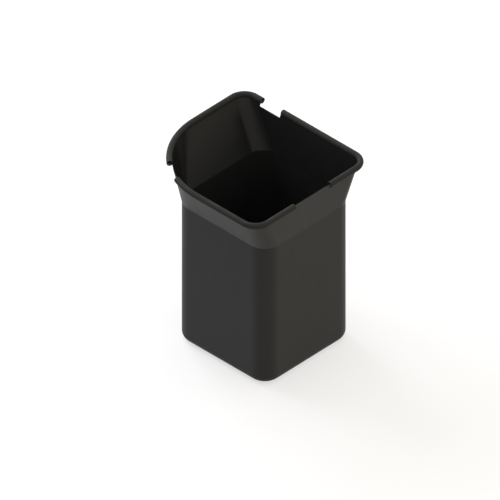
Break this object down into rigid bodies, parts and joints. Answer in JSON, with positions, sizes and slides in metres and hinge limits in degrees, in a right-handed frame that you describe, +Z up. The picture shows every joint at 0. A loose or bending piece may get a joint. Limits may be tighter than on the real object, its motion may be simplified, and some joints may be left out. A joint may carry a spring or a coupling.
{
  "type": "trash compactor waste bin",
  "caption": "Open-topped square waste bin of a trash compactor, with a flared collar, a wide hopper side at the rear and tubular edging round a notched rim.",
  "frame": {"origin": "centre of the square tub's underside, on the surface that the bin stands on", "axes": "+Z up, +X to the front with the wide middle notch, -X to the rear hopper side, +Y to the right side seen from the front"},
  "size_m": [0.4198, 0.3936, 0.502],
  "materials": {
    "tub_plastic": "charcoal moulded plastic with a fine satin grain",
    "collar_plastic": "charcoal moulded plastic with a fine satin grain",
    "edging_plastic": "smooth satin charcoal extruded plastic"
  },
  "bodies": {
    "root": {"bin_tub": "tub_plastic", "flared_collar": "collar_plastic", "rim_edging_left": "edging_plastic", "rim_edging_right": "edging_plastic", "rim_edging_rear": "edging_plastic"}
  },
  "joints": []
}
